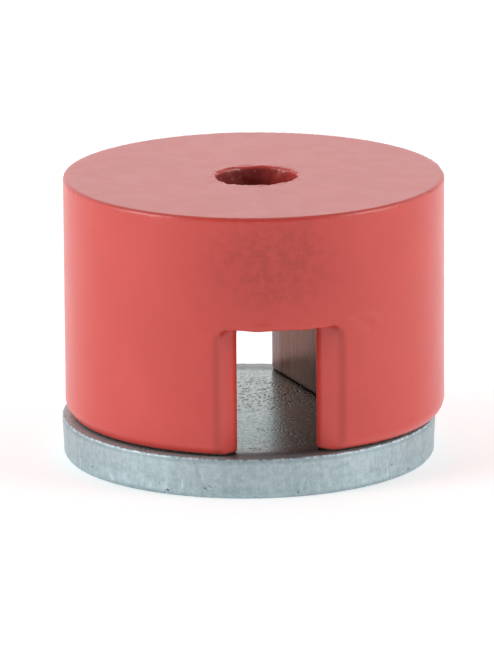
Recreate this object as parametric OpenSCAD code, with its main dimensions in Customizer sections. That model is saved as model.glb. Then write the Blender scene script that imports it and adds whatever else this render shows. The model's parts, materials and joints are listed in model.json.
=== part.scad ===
// Slotted button magnet with its keeper disc.
// A cast alnico horseshoe in button form stands on a stamped mild-steel keeper.
// Z is up, the slot runs along Y, and Z = 0 is the underside of the keeper.
// The origin is on the axis of the screw hole.

/* [Magnet body] */
// Outer diameter of the magnet
body_d = 25.4; // [22:0.1:32]
// Height of the magnet from its pole faces to its back
body_h = 16.2; // [14:0.1:22]
// Bevel round the edge of the back
back_bevel = 0.2; // [0.1:0.1:0.6]
// Bevel round the outer edge of the pole faces
pole_bevel = 0.4; // [0.1:0.1:0.8]

/* [Slot] */
// Height of the slot from the pole faces to its ceiling
slot_h = 8.6; // [6:0.1:10]
// Clear width between the lips at each mouth
lip_gap = 5.3; // [4.4:0.1:6.4]
// Width of each mouth where its flare meets the outer wall
mouth_w = 8.3; // [7.6:0.1:9.4]
// Depth from the outer diameter to the lips
lip_depth = 1.9; // [1.2:0.1:2.4]
// Diameter of the wide middle, the room for a screw head
room_d = 10.1; // [9.5:0.1:12]

/* [Screw hole] */
// Diameter of the hole through the web
hole_d = 5.5; // [4.3:0.1:6]
// Bevel round the hole's edge in the back
hole_bevel = 0.25; // [0.1:0.05:0.5]

/* [Keeper] */
// Diameter of the keeper disc
keeper_d = 25; // [22:0.1:32]
// Thickness of the keeper disc
keeper_t = 2.7; // [1.5:0.1:4]
// Roll-over of the stamped edge on the underside
keeper_roll = 0.3; // [0.1:0.05:0.7]
// How far the keeper sits off the magnet's axis to the left
keeper_off_x = 0.45; // [0:0.05:1]
// How far the keeper sits off the magnet's axis to the front
keeper_off_y = 0.25; // [0:0.05:1]

/* [Hidden] */
$fn = 96;
body_r = body_d / 2;
room_r = room_d / 2;
lip_x = lip_gap / 2;
lip_y = body_r - lip_depth;
// The flare runs from the lips to the outer wall, and its cutter goes on past the wall.
outer_x = mouth_w / 2;
outer_y = sqrt(body_r ^ 2 - outer_x ^ 2);
mouth_y = body_r + 1;
mouth_x = lip_x + (outer_x - lip_x) / (outer_y - lip_y) * (mouth_y - lip_y);
// Each straight wall leaves the wide middle as a tangent that meets a lip.
wall_turn = atan2(lip_y, lip_x) - acos(room_r / norm([lip_x, lip_y]));
wall_x = room_r * cos(wall_turn);
wall_y = room_r * sin(wall_turn);
keeper_top_bevel = 0.05;          // the keeper's top edge is almost sharp
cut = 1;                          // how far cutters overshoot flat faces

// Solid of revolution with a bevel on each of its two outer edges.
module button(r, h, low_bevel, high_bevel) {
    rotate_extrude()
        polygon([
            [0, 0],
            [r - low_bevel, 0],
            [r, low_bevel],
            [r, h - high_bevel],
            [r - high_bevel, h],
            [0, h]
        ]);
}

// Plan of one half of the slot: middle, straight walls that close in to the lips, and flared mouth.
module slot_half_plan() {
    polygon([
        [-wall_x, 0],
        [-wall_x, wall_y],
        [-lip_x, lip_y],
        [-mouth_x, mouth_y],
        [mouth_x, mouth_y],
        [lip_x, lip_y],
        [wall_x, wall_y],
        [wall_x, 0]
    ]);
}

// Cutter for the slot, from below the pole faces up to the ceiling.
module slot_cutter() {
    translate([0, 0, -cut]) {
        for (side = [0, 180])
            rotate([0, 0, side])
                linear_extrude(height = slot_h + cut)
                    slot_half_plan();
        cylinder(d = room_d, h = slot_h + cut);
    }
}

// Cutter for the screw hole and its bevelled edge in the back.
module hole_cutter() {
    translate([0, 0, slot_h - cut])
        cylinder(d = hole_d, h = body_h - slot_h + 2 * cut);
    translate([0, 0, body_h - hole_bevel])
        cylinder(d1 = hole_d, d2 = hole_d + 2 * (hole_bevel + cut), h = hole_bevel + cut);
}

module magnet_body() {
    color([0.76, 0.28, 0.25])
        translate([0, 0, keeper_t])
            difference() {
                button(body_r, body_h, pole_bevel, back_bevel);
                slot_cutter();
                hole_cutter();
            }
}

module keeper_disc() {
    color([0.68, 0.72, 0.74])
        translate([-keeper_off_x, -keeper_off_y, 0])
            button(keeper_d / 2, keeper_t, keeper_roll, keeper_top_bevel);
}

magnet_body();
keeper_disc();
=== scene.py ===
"""Slotted button magnet on its keeper disc: visual meshes, materials, light and camera."""
import json
import math

import bpy
import numpy as np
from mathutils import Matrix, Vector, noise


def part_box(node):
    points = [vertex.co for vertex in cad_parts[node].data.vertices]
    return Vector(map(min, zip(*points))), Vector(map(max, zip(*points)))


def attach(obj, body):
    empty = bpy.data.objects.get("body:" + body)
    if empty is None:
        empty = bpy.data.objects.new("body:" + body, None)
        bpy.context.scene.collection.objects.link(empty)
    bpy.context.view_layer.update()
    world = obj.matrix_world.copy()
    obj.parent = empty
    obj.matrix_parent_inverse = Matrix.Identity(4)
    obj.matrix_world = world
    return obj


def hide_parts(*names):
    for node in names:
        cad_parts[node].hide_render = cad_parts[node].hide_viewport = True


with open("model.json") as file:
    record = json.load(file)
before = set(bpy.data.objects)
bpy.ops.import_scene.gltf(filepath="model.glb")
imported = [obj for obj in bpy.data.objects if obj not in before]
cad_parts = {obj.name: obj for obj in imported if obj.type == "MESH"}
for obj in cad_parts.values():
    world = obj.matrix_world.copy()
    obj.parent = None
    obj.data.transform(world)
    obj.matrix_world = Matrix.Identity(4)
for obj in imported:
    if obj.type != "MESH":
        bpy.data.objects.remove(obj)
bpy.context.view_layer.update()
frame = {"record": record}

# ---------------------------------------------------------------- sizes, in millimetres

MM = 0.001
magnet_low, magnet_high = (np.array(c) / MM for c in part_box("magnet_body"))
keeper_low, keeper_high = (np.array(c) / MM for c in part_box("keeper_disc"))
mounts = {m["name"]: m for m in frame["record"]["mounts"]}

BODY_R = (magnet_high[0] - magnet_low[0]) / 2
POLE_Z = magnet_low[2] + 0.015            # a hair above the keeper, so the faces don't coincide
BACK_Z = magnet_high[2]
HOLE_R = mounts["screw_hole"]["dims"]["r_mm"]
SLOT_H = 8.6                              # from the pole faces to the slot's ceiling
CEILING_Z = magnet_low[2] + SLOT_H
ROOM_R = 5.09                             # half the wide middle of the slot
LIP_X = 2.53                              # half the gap between the lips, before their round
LIP_DEPTH = 1.9                           # from the outer diameter to the lips
LIP_Y = BODY_R - LIP_DEPTH
MOUTH_X = 4.14                            # half the mouth where it meets the outer wall
MOUTH_Y = math.sqrt(BODY_R ** 2 - MOUTH_X ** 2)
WALL_ANGLE = math.radians(14.2)           # the walls converge this much towards each mouth

BACK_ROUND = 0.13                         # radius of the back's edge
POLE_BEVEL = 0.60                         # height and width of the bevel round the pole faces
ENAMEL_END = 0.20                         # the enamel stops this far above the pole faces
POLE_ROUND = 0.30                         # radius where that bevel meets the outer wall
LIP_ROUND = 0.52                          # radius of each lip in plan
EDGE_ROUND = 0.17                         # radius of the slot's edges
HOLE_ROUND = 0.09                         # radius of the hole's edges
HOLE_AT = (0.12, -0.40)                   # the cast hole comes out this far off the axis
FILLET = 0.14                             # radius of the corner under the slot's ceiling
WAVE_HEIGHT = 0.005                       # skin of the casting
RAGGED_HEIGHT = 0.075                     # lip of the hole
DRIP_HEIGHT = 0.09                        # enamel over the slot's mouths
GRID = 0.19                               # spacing of the magnet's mesh
GRID_SHIFT = 0.037                        # keeps the grid off the flat faces

KEEPER_R = (keeper_high[0] - keeper_low[0]) / 2
KEEPER_C = (keeper_high[:2] + keeper_low[:2]) / 2
KEEPER_T = keeper_high[2]
KEEPER_ROLL = 0.30                        # round of the stamped edge on the underside
KEEPER_RIM = 0.12                         # round of the top edge
KEEPER_DRAFT = 0.08                       # the edge leans in this much towards the underside
SHEAR_HEIGHT = 0.012                      # upright marks all the way round the edge
TEAR_HEIGHT = 0.028                       # tears in the edge's lower part
BURR_HEIGHT = 0.03
KEEPER_TURNS = 720                        # points round the keeper


# ---------------------------------------------------------------- noise on many points

def fractal(points, scale, octaves=2, seed=0.0):
    """Noise from about -1 to 1 at each point, with features about `scale` millimetres across."""
    shift = Vector((seed, 1.7 * seed, -0.6 * seed))
    values = [
        noise.fractal(Vector(p) / scale + shift, 1.0, 2.0, octaves)
        for p in points
    ]
    return np.array(values)


def smooth_step(low, high, x):
    t = np.clip((x - low) / (high - low), 0, 1)
    return t * t * (3 - 2 * t)


# ---------------------------------------------------------------- the magnet as a distance field

def round_max(a, b, r):
    """Intersection of two distance fields, with the edge between them rounded to radius r."""
    return np.minimum(-r, np.maximum(a, b)) + np.hypot(np.maximum(r + a, 0), np.maximum(r + b, 0))


def unit(x, y):
    length = math.hypot(x, y)
    return x / length, y / length


def slot_plan(x, y):
    """Distance from the slot's outline in plan, negative in the opening, for one quadrant."""
    room = np.hypot(x, y) - ROOM_R
    wall = x * math.cos(WALL_ANGLE) + y * math.sin(WALL_ANGLE) - ROOM_R
    taper = np.minimum(wall, np.maximum(room, y - 3))
    flare_n = unit(MOUTH_Y - LIP_Y, LIP_X - MOUTH_X)
    flare = -(flare_n[0] * (x - LIP_X) + flare_n[1] * (y - LIP_Y))
    return -round_max(-taper, flare, LIP_ROUND)


def from_hole_axis(p):
    return np.hypot(p[:, 0] - HOLE_AT[0], p[:, 1] - HOLE_AT[1])


def magnet_field(p):
    """Distance from the magnet's surface at points p, negative inside."""
    x, y, z = np.abs(p[:, 0]), np.abs(p[:, 1]), p[:, 2]
    radius = np.hypot(x, y)
    shell = round_max(radius - BODY_R, z - BACK_Z, BACK_ROUND)
    bevel = (radius - BODY_R + POLE_Z + POLE_BEVEL - z) / math.sqrt(2)
    shell = round_max(round_max(shell, bevel, POLE_ROUND), POLE_Z - z, 0.06)
    fillet = FILLET + 0.4 * smooth_step(LIP_X + 0.6, MOUTH_X, x)
    slot = round_max(slot_plan(x, y), z - CEILING_Z, fillet)
    hole = from_hole_axis(p) - HOLE_R
    solid = round_max(shell, -slot, EDGE_ROUND)
    return round_max(solid, -hole, HOLE_ROUND)


def gradient(field, p, h=0.004):
    """Unit outward normal of a distance field at points p."""
    g = np.empty_like(p)
    for axis in range(3):
        step = np.zeros(3)
        step[axis] = h
        g[:, axis] = field(p + step) - field(p - step)
    return g / np.maximum(np.linalg.norm(g, axis=1, keepdims=True), 1e-9)


def surface_net(field, low, high, step):
    """Quads round a distance field's zero level, one vertex in each grid cell that it crosses."""
    axes = [np.arange(a, b + step, step) for a, b in zip(low, high)]
    shape = tuple(len(a) for a in axes)
    grid = np.stack(np.meshgrid(*axes, indexing="ij"), -1).reshape(-1, 3)
    inside = (field(grid) < 0).reshape(shape)
    corners = sum(
        inside[i:shape[0] - 1 + i, j:shape[1] - 1 + j, k:shape[2] - 1 + k].astype(np.int8)
        for i in (0, 1) for j in (0, 1) for k in (0, 1)
    )
    active = (corners > 0) & (corners < 8)
    index = np.full(active.shape, -1, np.int64)
    index[active] = np.arange(active.sum())
    cells = np.argwhere(active)
    vertices = np.array(low) + (cells + 0.5) * step
    quads = []
    for axis in range(3):
        u, v = (axis + 1) % 3, (axis + 2) % 3
        a = np.take(inside, range(shape[axis] - 1), axis)
        b = np.take(inside, range(1, shape[axis]), axis)
        for leaving in (True, False):
            edges = np.argwhere((a & ~b) if leaving else (~a & b))
            ring = []
            for du, dv in ((-1, -1), (0, -1), (0, 0), (-1, 0)):
                cell = edges.copy()
                cell[:, u] += du
                cell[:, v] += dv
                ring.append(index[tuple(cell.T)])
            ring = np.stack(ring, 1)
            quads.append(ring if leaving else ring[:, ::-1])
    return vertices, np.concatenate(quads)


def relax(field, p, quads, rounds):
    """Slides vertices along the surface to even out the quads, and puts them back on it."""
    edges = np.concatenate([quads[:, [i, (i + 1) % 4]] for i in range(4)])
    count = np.bincount(edges.ravel(), minlength=len(p))[:, None]
    for _ in range(rounds):
        total = np.zeros_like(p)
        for axis in range(3):
            total[:, axis] += np.bincount(edges[:, 0], p[edges[:, 1], axis], len(p))
            total[:, axis] += np.bincount(edges[:, 1], p[edges[:, 0], axis], len(p))
        normal = gradient(field, p)
        move = total / count - p
        move -= normal * (move * normal).sum(1, keepdims=True)
        p = p + 0.6 * move
        for _ in range(2):
            p = p - gradient(field, p) * field(p)[:, None]
    return p


def cast_skin(p):
    """Small heights over the magnet's ideal surface: cast waves, paint drips and a ragged hole."""
    radius = np.hypot(p[:, 0], p[:, 1])
    outer = smooth_step(-0.6, -0.1, -np.abs(radius - BODY_R))
    waves = WAVE_HEIGHT * fractal(p, 5.5, 2, 3.1) * (0.15 + 0.85 * outer)
    from_hole = np.abs(from_hole_axis(p) - HOLE_R)
    lip = smooth_step(0.6, 0.1, from_hole) * smooth_step(3.0, 0.2, BACK_Z - p[:, 2])
    ragged = RAGGED_HEIGHT * lip * fractal(p, 0.62, 3, 8.4)
    ceiling = smooth_step(0.7, 0.1, np.abs(p[:, 2] - CEILING_Z))
    ceiling *= smooth_step(9.5, 11, np.abs(p[:, 1]))
    drips = DRIP_HEIGHT * ceiling * fractal(p, 1.6, 2, 5.2)
    pole = smooth_step(POLE_Z + 0.25, POLE_Z + 0.05, p[:, 2])
    return (waves + ragged + drips) * (1 - pole)


def bare_share(p):
    """1 where the alnico is bare, in the slot and on the pole faces, and 0 under enamel."""
    x, y, z = np.abs(p[:, 0]), np.abs(p[:, 1]), p[:, 2]
    in_slot = (z < CEILING_Z + 0.25) & (np.hypot(x, y) < BODY_R - 0.6) & (x < ROOM_R + 0.4)
    wall = in_slot * smooth_step(0.15, 0.45, LIP_Y - y)
    hole = smooth_step(0.9, 0.3, z - CEILING_Z) * (from_hole_axis(p) < HOLE_R + 0.25)
    pole = smooth_step(ENAMEL_END + 0.06, ENAMEL_END - 0.06, z - POLE_Z)
    return np.maximum.reduce([wall, hole, pole])


def corner_shade_share(p):
    """1 along the corner where each mouth's flare meets the outer wall, where the enamel gets painted
    shade.
    """
    x, y, z = np.abs(p[:, 0]), np.abs(p[:, 1]), p[:, 2]
    corner = round_max(x - MOUTH_X, z - CEILING_Z, 0.9)
    on_flare = smooth_step(0.5, 0.9, x - LIP_X) * (y > LIP_Y + 0.3)
    return smooth_step(0.50, 0.05, np.abs(corner)) * on_flare


def dust_and_light_share(p):
    """1 on the walls just inside the lips of the rear mouth: paint dust there, painted lighter pink
    for the light that comes in through that mouth.
    """
    x, behind, z = np.abs(p[:, 0]), LIP_Y - p[:, 1], p[:, 2]
    in_slot = (x < MOUTH_X) * (z < CEILING_Z)
    return smooth_step(1.9, 1.4, behind) * smooth_step(0.0, 0.3, behind) * in_slot


def mesh_object(name, vertices, faces, material):
    """Smooth-shaded object from vertices in millimetres."""
    mesh = bpy.data.meshes.new(name)
    mesh.from_pydata((vertices * MM).tolist(), [], faces)
    mesh.update()
    mesh.shade_smooth()
    mesh.materials.append(material)
    obj = bpy.data.objects.new(name, mesh)
    bpy.context.scene.collection.objects.link(obj)
    return obj


def add_share(obj, name, values):
    """Gives each vertex a number that the material reads by name."""
    layer = obj.data.attributes.new(name, "FLOAT", "POINT")
    layer.data.foreach_set("value", values.astype(np.float32))


def make_magnet(material):
    margin = 2.5 * GRID
    low = magnet_low - margin + GRID_SHIFT
    vertices, quads = surface_net(magnet_field, low, magnet_high + margin, GRID)
    for _ in range(4):
        vertices = vertices - gradient(magnet_field, vertices) * magnet_field(vertices)[:, None]
    vertices = relax(magnet_field, vertices, quads, 6)
    normals = gradient(magnet_field, vertices)
    height = cast_skin(vertices)
    skin = vertices + normals * height[:, None]
    obj = mesh_object("magnet_casting", skin, quads.tolist(), material)
    add_share(obj, "bare", bare_share(vertices))
    add_share(obj, "corner_shade", corner_shade_share(vertices))
    add_share(obj, "dust_and_light", dust_and_light_share(vertices))
    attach(obj, "magnet")
    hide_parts("magnet_body")


# ---------------------------------------------------------------- the keeper

def keeper_profile():
    """Half section of the keeper from the middle of its top round to the middle of its underside."""
    rim_r, rim_z = KEEPER_R - KEEPER_RIM, KEEPER_T - KEEPER_RIM
    roll_r = KEEPER_R - KEEPER_ROLL
    top = [(r, KEEPER_T) for r in np.linspace(0, rim_r, 70)[1:]]
    rim = [
        (rim_r + KEEPER_RIM * math.sin(a), rim_z + KEEPER_RIM * math.cos(a))
        for a in np.linspace(0, math.pi / 2, 6)[1:]
    ]
    wall = [(KEEPER_R, z) for z in np.linspace(rim_z, KEEPER_ROLL, 22)[1:]]
    roll = [
        (roll_r + KEEPER_ROLL * math.cos(a), KEEPER_ROLL - KEEPER_ROLL * math.sin(a))
        for a in np.linspace(0, math.pi / 2, 9)[1:]
    ]
    under = [(r, 0.0) for r in np.linspace(roll_r, 0, 30)[1:-1]]
    return np.array(top + rim + wall + roll + under)


def keeper_skin(p, radial):
    """Heights over the keeper's ideal edge: shear marks, tears in the lower part, and a draft."""
    z = p[:, 2]
    edge = smooth_step(KEEPER_R - 0.3, KEEPER_R - 0.05, radial)
    along = np.arctan2(p[:, 1], p[:, 0]) * KEEPER_R

    def stretched(height):
        return np.stack([along, z * height, 0 * z], 1)

    torn = 1 - smooth_step(0.9, 1.3, z + 0.25 * fractal(stretched(0), 2.2, 2, 4.0))
    shear = SHEAR_HEIGHT * fractal(stretched(0.10), 0.42, 3, 1.3)
    tear = TEAR_HEIGHT * fractal(stretched(0.55), 0.5, 3, 6.0) * torn
    draft = KEEPER_DRAFT * smooth_step(KEEPER_T, KEEPER_ROLL, z)
    return edge * (shear + tear - SHEAR_HEIGHT * torn - draft)


def make_keeper(material):
    ring_r, ring_z = keeper_profile().T
    count = KEEPER_TURNS
    turn = np.linspace(0, 2 * math.pi, count, endpoint=False)
    points = np.stack([
        np.outer(ring_r, np.cos(turn)),
        np.outer(ring_r, np.sin(turn)),
        np.repeat(ring_z[:, None], count, 1),
    ], -1).reshape(-1, 3)
    radial = np.repeat(ring_r, count)
    out = points * np.array([1, 1, 0]) / np.maximum(radial, 1e-6)[:, None]
    near_edge = radial > KEEPER_R - 0.6
    height = np.zeros(len(points))
    height[near_edge] = keeper_skin(points[near_edge], radial[near_edge])
    points += out * height[:, None]
    near_rim = smooth_step(KEEPER_R - 0.22, KEEPER_R - 0.1, radial)
    near_rim *= smooth_step(0.16, 0.02, KEEPER_T - points[:, 2])
    burr = BURR_HEIGHT * np.clip(0.4 + fractal(points, 0.9, 2, 2.2), 0, 1)
    points[:, 2] += burr * near_rim
    points[:, :2] += KEEPER_C
    centre_top, centre_low = len(points), len(points) + 1
    points = np.vstack([points, [*KEEPER_C, KEEPER_T], [*KEEPER_C, 0]])
    rings = len(ring_r)
    a = np.arange(count)
    b = (a + 1) % count
    faces = []
    for k in range(rings - 1):
        ring, following = k * count, (k + 1) * count
        faces += np.stack([ring + a, following + a, following + b, ring + b], 1).tolist()
    faces += np.stack([a, b, np.full(count, centre_top)], 1).tolist()
    last = (rings - 1) * count
    faces += np.stack([last + b, last + a, np.full(count, centre_low)], 1).tolist()
    obj = mesh_object("keeper_plate", points, faces, material)
    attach(obj, "keeper")
    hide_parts("keeper_disc")


# ---------------------------------------------------------------- node helpers

RAMP_KEYS = ("From Min", "From Max", "To Min", "To Max")


class Nodes:
    """Short calls for building a material's node tree. Lengths of textures are in millimetres."""

    def __init__(self, name):
        self.material = bpy.data.materials.new(name)
        self.material.use_nodes = True
        self.tree = self.material.node_tree
        self.shader = self.tree.nodes["Principled BSDF"]
        coords = self.tree.nodes.new("ShaderNodeTexCoord")
        self.place = self.vector("SCALE", coords.outputs["Object"], scale=1 / MM)

    def link(self, source, socket):
        if isinstance(source, (int, float, tuple)):
            socket.default_value = source
        else:
            self.tree.links.new(source, socket)

    def vector(self, operation, a, b=None, scale=None):
        node = self.tree.nodes.new("ShaderNodeVectorMath")
        node.operation = operation
        self.link(a, node.inputs[0])
        if b is not None:
            self.link(b, node.inputs[1])
        if scale is not None:
            node.inputs["Scale"].default_value = scale
        return node.outputs["Vector"]

    def math(self, operation, a, b=0.0, clamp=False):
        node = self.tree.nodes.new("ShaderNodeMath")
        node.operation = operation
        node.use_clamp = clamp
        self.link(a, node.inputs[0])
        self.link(b, node.inputs[1])
        return node.outputs[0]

    def span(self, value, low, high, to_low=0.0, to_high=1.0):
        """Smooth ramp of a value from to_low at low to to_high at high."""
        node = self.tree.nodes.new("ShaderNodeMapRange")
        node.interpolation_type = "SMOOTHSTEP"
        self.link(value, node.inputs["Value"])
        for key, number in zip(RAMP_KEYS, (low, high, to_low, to_high)):
            node.inputs[key].default_value = number
        return node.outputs["Result"]

    def noise(self, size, detail=2.0, roughness=0.5, place=None):
        """Noise with features about `size` millimetres across."""
        node = self.tree.nodes.new("ShaderNodeTexNoise")
        node.inputs["Scale"].default_value = 1 / size
        node.inputs["Detail"].default_value = detail
        node.inputs["Roughness"].default_value = roughness
        self.tree.links.new(place or self.place, node.inputs["Vector"])
        return node.outputs["Fac"]

    def cells(self, size, place=None):
        """Distance from the nearest of random points about `size` millimetres apart."""
        node = self.tree.nodes.new("ShaderNodeTexVoronoi")
        node.inputs["Scale"].default_value = 1 / size
        self.tree.links.new(place or self.place, node.inputs["Vector"])
        return node.outputs["Distance"]

    def stretched(self, stretch):
        """The place, scaled along each axis. A small number draws a pattern out along its axis."""
        return self.vector("MULTIPLY", self.place, stretch)

    def product(self, *values):
        result = values[0]
        for value in values[1:]:
            result = self.math("MULTIPLY", result, value)
        return result

    def mix(self, share, a, b):
        node = self.tree.nodes.new("ShaderNodeMix")
        node.data_type = "RGBA"
        node.clamp_factor = True
        self.link(share, node.inputs[0])
        self.link(a, node.inputs[6])
        self.link(b, node.inputs[7])
        return node.outputs[2]

    def mix_number(self, share, a, b):
        node = self.tree.nodes.new("ShaderNodeMix")
        node.data_type = "FLOAT"
        self.link(share, node.inputs[0])
        self.link(a, node.inputs[2])
        self.link(b, node.inputs[3])
        return node.outputs[0]

    def attribute(self, name):
        node = self.tree.nodes.new("ShaderNodeAttribute")
        node.attribute_name = name
        return node.outputs["Fac"]

    def length(self, vector):
        node = self.tree.nodes.new("ShaderNodeVectorMath")
        node.operation = "LENGTH"
        self.link(vector, node.inputs[0])
        return node.outputs["Value"]

    def split(self, vector):
        node = self.tree.nodes.new("ShaderNodeSeparateXYZ")
        self.link(vector, node.inputs[0])
        return node.outputs

    def bump(self, height, depth_mm, below=None):
        """Bump of a 0 to 1 height that stands depth_mm high."""
        node = self.tree.nodes.new("ShaderNodeBump")
        node.inputs["Strength"].default_value = 1.0
        node.inputs["Distance"].default_value = depth_mm * MM
        self.link(height, node.inputs["Height"])
        if below is not None:
            self.link(below, node.inputs["Normal"])
        return node.outputs["Normal"]


# ---------------------------------------------------------------- materials

ENAMEL = (0.57, 0.058, 0.046, 1)
ENAMEL_DEEP = (0.545, 0.053, 0.042, 1)
# painted shade colour for the enamel, used for a dark reflection and along the mouth corners
ENAMEL_SHADE = (0.28, 0.024, 0.019, 1)
REFLECTION_PATCH_AT = (-0.5, -12.7, 15.8)            # middle of a mottled patch of painted dark reflection on the enamel over the front mouth
PINHOLE = (0.22, 0.02, 0.015, 1)
OVERSPRAY = (0.25, 0.07, 0.055, 1)        # thin red drift on the bare alnico
ALNICO = (0.27, 0.165, 0.142, 1)
ALNICO_DARK = (0.16, 0.092, 0.076, 1)
# paint dust, made lighter pink as painted light from the rear mouth
PAINT_DUST_LIT = (0.50, 0.29, 0.29, 1)
BORE_BROWN = (0.16, 0.050, 0.046, 1)
BORE_GLINT = (0.50, 0.24, 0.22, 1)         # painted pale pink highlights in the rough wall of the hole
GRAZING_BROWN = (0.72, 0.51, 0.47, 1)     # tint of bare alnico seen at a low angle
ZINC = (0.295, 0.345, 0.325, 1)
ZINC_DARK = (0.175, 0.205, 0.19, 1)
ZINC_EDGE = (0.42, 0.525, 0.56, 1)
ZINC_EDGE_DARK = (0.325, 0.41, 0.43, 1)
ZINC_SCRATCH_AND_HIGHLIGHT = (0.80, 0.86, 0.90, 1)          # bright metal in scratches, and a painted highlight along the burr on the top rim
# painted shade on the edge just under the top rim
ZINC_UNDER_RIM_SHADE = (0.22, 0.28, 0.30, 1)
ZINC_RING = (0.47, 0.52, 0.52, 1)
ZINC_BLUE = (0.13, 0.20, 0.215, 1)        # cast of the plating towards the front
# painted dark reflection and shade on the keeper's top face at the front, below the slot
DARK_REFLECTION_TINT = (0.12, 0.085, 0.09, 1)
PIT = (0.04, 0.036, 0.034, 1)
PITTED_PATCH = (-1.6, 3.7, 0)             # middle of the patch where the plating is pitted
SHEET_WHITE = (0.90, 0.90, 0.90, 1)
SHEET_GREY = (0.86, 0.86, 0.86, 1)
SHEET_GLOW = 0.38


def enamel_colour(n):
    """Red enamel with pinholes, a mottled patch of painted dark reflection over the front mouth,
    painted shade along the mouth corners, and a rough hole, browner inside towards -x, with painted
    pale highlights near its top.
    """
    x, _, z = n.split(n.place)
    enamel = n.mix(n.span(n.noise(4.5, 3, 0.6), 0.35, 0.7), ENAMEL_DEEP, ENAMEL)
    pinholes = n.product(n.span(n.cells(0.9), 0.09, 0.04), n.span(n.noise(2.2, 1), 0.55, 0.65))
    enamel = n.mix(n.product(pinholes, 0.55), enamel, PINHOLE)

    # painted dark reflection: a mottled darker patch on the enamel over the front mouth
    from_reflection_patch = n.vector("MULTIPLY", n.vector("SUBTRACT", n.place, REFLECTION_PATCH_AT), (0.8, 0.3, 1))
    clouds = n.span(n.noise(0.7, 4, 0.7), 0.38, 0.64, 0.35, 1.0)
    reflection_patch = n.product(n.span(n.length(from_reflection_patch), 5.0, 0.8), clouds)
    enamel = n.mix(n.product(reflection_patch, 0.55), enamel, ENAMEL_SHADE)
    # painted shade along the corners where each mouth's flare meets the outer wall
    enamel = n.mix(n.product(n.attribute("corner_shade"), 0.33), enamel, ENAMEL_SHADE)

    from_axis = n.length(n.stretched((1, 1, 0)))
    in_bore = n.product(
        n.span(from_axis, HOLE_R + 0.6, HOLE_R + 0.2),
        n.span(z, BACK_Z - 0.03, BACK_Z - 0.30),
    )
    brown = n.math("ADD", n.span(x, 2.2, -0.4, 0.10, 0.85), n.noise(0.5, 3, 0.7), clamp=True)
    enamel = n.mix(n.product(in_bore, n.math("SUBTRACT", brown, 0.35)), enamel, BORE_BROWN)
    # painted highlights: pale specks in the bore towards the back face
    glints = n.product(n.span(n.noise(0.50, 3, 0.7), 0.60, 0.68), in_bore)
    near_back = n.span(z, BACK_Z - 1.6, BACK_Z - 0.4, 0.0, 0.7)
    return n.mix(n.product(glints, near_back), enamel, BORE_GLINT)


def magnet_material():
    """Red enamel over a casting, with bare brown alnico in the slot and on the poles."""
    n = Nodes("red_enamel")
    shader = n.shader
    waver = n.product(n.math("SUBTRACT", n.noise(0.35, 3), 0.5), 0.25)
    bare = n.span(n.math("ADD", n.attribute("bare"), waver), 0.42, 0.58)
    dust_and_light = n.attribute("dust_and_light")

    streaks = n.noise(0.35, 3, 0.6, place=n.stretched((1, 1, 0.06)))
    metal = n.mix(n.span(streaks, 0.3, 0.7), ALNICO_DARK, ALNICO)
    overspray = n.product(n.span(n.noise(0.8, 3), 0.45, 0.65), 0.4)
    metal = n.mix(overspray, metal, OVERSPRAY)
    # paint dust inside the rear mouth, with painted light from that mouth
    metal = n.mix(dust_and_light, metal, PAINT_DUST_LIT)

    n.link(n.mix(bare, enamel_colour(n), metal), shader.inputs["Base Color"])
    n.link(n.mix_number(bare, 0.0, n.mix_number(dust_and_light, 0.62, 0.0)), shader.inputs["Metallic"])
    n.link(n.mix(bare, (1, 1, 1, 1), GRAZING_BROWN), shader.inputs["Specular Tint"])
    gloss = n.span(n.noise(1.4, 2), 0.3, 0.7, 0.29, 0.32)
    dull = n.span(streaks, 0.3, 0.7, 0.23, 0.34)
    n.link(n.mix_number(bare, gloss, dull), shader.inputs["Roughness"])

    peel = n.bump(n.noise(0.6), 0.003)
    ripple = n.bump(n.noise(2.6, 1), 0.003, peel)
    grind = n.bump(n.mix_number(bare, 0.5, streaks), 0.012, ripple)
    n.link(grind, shader.inputs["Normal"])
    return n.material


def keeper_face(n, radial, grain, ring):
    """Colour and pits of the keeper's flat faces, with painted dark reflection and shade at the
    front, below the slot.
    """
    x, y, _ = n.split(n.place)
    from_patch = n.vector("MULTIPLY", n.vector("SUBTRACT", n.place, PITTED_PATCH), (0.6, 1, 0))
    in_patch = n.span(n.length(from_patch), 5.5, 3.5, 0.0, 0.9)
    elsewhere = n.span(n.noise(2.4), 0.50, 0.60, 0.0, 0.4)
    dots = n.span(n.cells(0.23, place=n.stretched((1, 0.45, 1))), 0.42, 0.28)
    pits = n.product(
        dots,
        n.math("ADD", in_patch, elsewhere, clamp=True),
        n.span(n.noise(0.6), 0.36, 0.46),
    )
    face = n.mix(n.span(grain, 0.36, 0.64), ZINC_DARK, ZINC)
    bluish = n.product(n.span(y, 7.0, -8.0), n.span(n.noise(2.8, 3, 0.6), 0.3, 0.6, 0.6, 1.0))
    face = n.mix(n.product(bluish, 0.8), face, ZINC_BLUE)
    face = n.mix(ring, face, ZINC_RING)
    # painted dark reflection and shade in front of the slot, near the rim
    front_dark_reflection = n.product(
        n.span(radial, KEEPER_R - 3.2, KEEPER_R - 1.4),
        n.span(n.math("ABSOLUTE", x), 4.6, 3.0),
        n.span(y, -2.0, -5.0),
    )
    face = n.mix(n.product(front_dark_reflection, 0.8), face, DARK_REFLECTION_TINT)
    return n.mix(pits, face, PIT), pits


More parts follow.
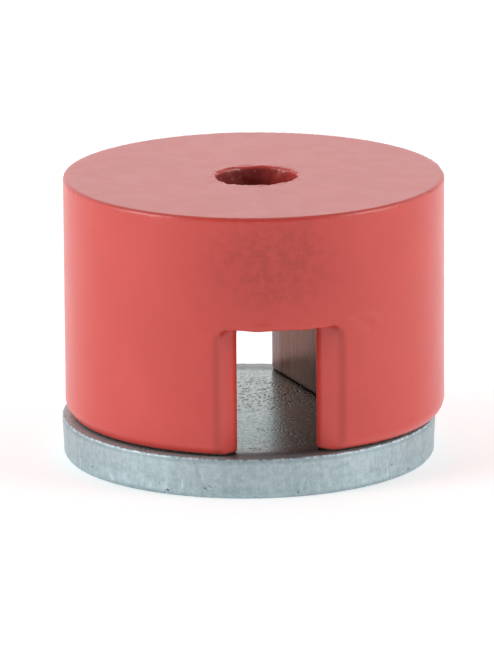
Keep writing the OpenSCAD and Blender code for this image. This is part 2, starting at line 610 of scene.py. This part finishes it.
def keeper_side(n, shade, marks, rim):
    """Colour and nicks of the keeper's stamped edge, with painted shade just under the rim and a
    painted highlight along it.
    """
    z = n.split(n.place)[2]
    nicks = n.product(
        n.span(n.noise(0.22, 2, 0.7), 0.62, 0.70),
        n.span(n.noise(1.6), 0.50, 0.60),
        n.span(z, 1.3, 0.8, 0.35, 0.95),
    )
    side = n.mix(n.span(shade, 0.38, 0.62), ZINC_EDGE_DARK, ZINC_EDGE)
    side = n.mix(nicks, side, PIT)
    upright = n.stretched((1, 1, 0.02))
    scratches = n.product(
        n.span(n.noise(0.11, 1, place=upright), 0.66, 0.72),
        n.span(n.noise(2.5, 1, place=upright), 0.45, 0.55),
    )
    side = n.mix(n.product(scratches, 0.4), side, ZINC_SCRATCH_AND_HIGHLIGHT)
    # painted shade: a darker band on the edge just under the top rim
    under_rim_shade = n.product(
        n.span(z, KEEPER_T - 0.45, KEEPER_T - 0.22),
        n.span(marks, 0.35, 0.6, 0.2, 0.6),
    )
    side = n.mix(under_rim_shade, side, ZINC_UNDER_RIM_SHADE)
    # painted highlight: a broken bright line along the top rim
    rim_highlight = n.span(n.noise(0.25, 2, 0.7), 0.42, 0.58, 0.0, 0.5)
    return n.mix(n.product(rim, rim_highlight), side, ZINC_SCRATCH_AND_HIGHLIGHT), nicks


def keeper_material():
    """Zinc plate over stamped steel: grain and dark pits on the faces, shear marks on the edge, and
    painted light: a highlight along the top rim, shade under it and a dark reflection on the front of
    the top face.
    """
    n = Nodes("zinc_plate")
    shader = n.shader
    z = n.split(n.place)[2]
    from_axis = n.vector("SUBTRACT", n.place, (KEEPER_C[0], KEEPER_C[1], 0.0))
    radial = n.length(n.vector("MULTIPLY", from_axis, (1, 1, 0)))
    edge = n.math(
        "MAXIMUM",
        n.span(radial, KEEPER_R - 0.2, KEEPER_R - 0.08),
        n.span(z, KEEPER_T - 0.25, KEEPER_T - 0.35),
    )
    ring = n.span(radial, KEEPER_R - 1.5, KEEPER_R - 0.4)
    # the top rim, where the painted highlight lies
    rim = n.product(
        n.span(z, KEEPER_T - 0.15, KEEPER_T - 0.06),
        n.span(radial, KEEPER_R - 0.20, KEEPER_R - 0.12),
    )
    grain = n.noise(0.20, 3, 0.7)
    upright = n.stretched((1, 1, 0.05))
    marks = n.noise(0.16, 3, 0.7, place=upright)
    bands = n.noise(1.1, 2, 0.6, place=upright)
    shade = n.math(
        "ADD",
        n.product(n.math("ADD", marks, bands), 0.22),
        n.product(n.noise(0.40, 4, 0.75), 0.56),
    )
    face, pits = keeper_face(n, radial, grain, ring)
    side, nicks = keeper_side(n, shade, marks, rim)

    n.link(n.mix(edge, face, side), shader.inputs["Base Color"])
    n.link(n.mix_number(edge, n.mix_number(ring, 1.0, 0.35), 1.0), shader.inputs["Metallic"])
    face_gloss = n.span(grain, 0.3, 0.7, 0.32, 0.22)
    face_gloss = n.mix_number(n.span(radial, KEEPER_R - 2.2, KEEPER_R - 1.0), face_gloss, 0.50)
    side_gloss = n.mix_number(rim, n.span(shade, 0.3, 0.7, 0.46, 0.40), 0.65)
    n.link(n.mix_number(edge, face_gloss, side_gloss), shader.inputs["Roughness"])
    relief = n.bump(n.mix_number(edge, grain, shade), 0.007)
    dents = n.bump(n.mix_number(edge, pits, nicks), -0.03, relief)
    n.link(dents, shader.inputs["Normal"])
    return n.material


def floor_material():
    """White light table: a matt white sheet with a little glow of its own."""
    n = Nodes("white_sheet")
    shader = n.shader
    n.link(n.mix(n.noise(180), SHEET_GREY, SHEET_WHITE), shader.inputs["Base Color"])
    shader.inputs["Roughness"].default_value = 0.9
    shader.inputs["Specular IOR Level"].default_value = 0.0
    shader.inputs["Emission Color"].default_value = (1, 1, 1, 1)
    shader.inputs["Emission Strength"].default_value = SHEET_GLOW
    return n.material


# ---------------------------------------------------------------- stage, light and camera

FLOOR_R = 3000                            # millimetres
TENT_MOUTH = (-0.134, -0.957, 0.259)      # towards the open side of the tent
TENT_GLOW = 1.30
SOFTBOX_SIZE = (0.45, 0.70)               # metres


def make_floor():
    count = 96
    turn = np.linspace(0, 2 * math.pi, count, endpoint=False)
    rim = np.stack([FLOOR_R * np.cos(turn), FLOOR_R * np.sin(turn), 0 * turn], 1)
    vertices = np.vstack([[0, 0, 0], rim])
    a = np.arange(count)
    faces = np.stack([np.zeros(count, int), a + 1, (a + 1) % count + 1], 1)
    obj = mesh_object("floor_sheet", vertices, faces.tolist(), floor_material())


def make_world():
    """A white tent, brightest round the horizon and dark on the side it opens to."""
    world = bpy.data.worlds.new("tent")
    bpy.context.scene.world = world
    world.use_nodes = True
    tree = world.node_tree
    back = tree.nodes["Background"]
    coords = tree.nodes.new("ShaderNodeTexCoord")

    def glow(direction, low, high, from_value, to_value):
        dot = tree.nodes.new("ShaderNodeVectorMath")
        dot.operation = "DOT_PRODUCT"
        dot.inputs[1].default_value = direction
        tree.links.new(coords.outputs["Generated"], dot.inputs[0])
        ramp = tree.nodes.new("ShaderNodeMapRange")
        ramp.interpolation_type = "SMOOTHSTEP"
        for key, number in zip(RAMP_KEYS, (low, high, from_value, to_value)):
            ramp.inputs[key].default_value = number
        tree.links.new(dot.outputs["Value"], ramp.inputs["Value"])
        return ramp.outputs["Result"]

    product = tree.nodes.new("ShaderNodeMath")
    product.operation = "MULTIPLY"
    tree.links.new(glow(TENT_MOUTH, 0.32, 0.88, 1.0, 0.05), product.inputs[0])
    tree.links.new(glow((0, 0, 1), 0.25, 0.85, 1.0, 0.48), product.inputs[1])
    tree.links.new(product.outputs[0], back.inputs["Color"])
    back.inputs["Strength"].default_value = TENT_GLOW


def make_softbox(name, place, power):
    """Soft light at a place in metres, turned towards the object."""
    data = bpy.data.lights.new(name, "AREA")
    data.shape = "RECTANGLE"
    data.size, data.size_y = SOFTBOX_SIZE
    data.energy = power
    obj = bpy.data.objects.new(name, data)
    obj.location = place
    obj.rotation_euler = (CAMERA_TARGET - Vector(place)).to_track_quat("-Z", "Y").to_euler()
    bpy.context.scene.collection.objects.link(obj)


CAMERA_AZIMUTH = math.radians(-7.8)
CAMERA_ELEVATION = math.radians(14.31)
CAMERA_DISTANCE = 0.5                     # metres
CAMERA_TARGET = Vector((0, 0, 0.009))
CAMERA_ROLL = math.radians(-0.37)
VIEW_HEIGHT = 0.0441068                   # metres that the picture spans at the target
SENSOR = 36                               # millimetres, along the picture's height
VIEW_SHIFT_X, VIEW_SHIFT_Y = -0.0113, -0.0170


def make_camera():
    a, e = CAMERA_AZIMUTH, CAMERA_ELEVATION
    back = Vector((math.sin(a) * math.cos(e), -math.cos(a) * math.cos(e), math.sin(e)))
    data = bpy.data.cameras.new("camera")
    camera = bpy.data.objects.new("camera", data)
    turn = (-back).to_track_quat("-Z", "Y").to_matrix() @ Matrix.Rotation(CAMERA_ROLL, 3, "Z")
    camera.matrix_world = Matrix.Translation(CAMERA_TARGET + back * CAMERA_DISTANCE) @ turn.to_4x4()
    data.sensor_width = SENSOR
    data.lens = SENSOR * CAMERA_DISTANCE / VIEW_HEIGHT
    data.shift_x, data.shift_y = VIEW_SHIFT_X, VIEW_SHIFT_Y
    data.clip_start, data.clip_end = 0.01, 20
    bpy.context.scene.collection.objects.link(camera)
    bpy.context.scene.camera = camera


scene = bpy.context.scene
scene.view_settings.view_transform = "Standard"
scene.view_settings.look = "None"

make_world()
make_softbox("left_softbox", (-0.85, -0.20, 0.20), 5.2)
make_softbox("right_softbox", (0.83, -0.36, 0.20), 4.0)
make_camera()
make_floor()
make_magnet(magnet_material())
make_keeper(keeper_material())
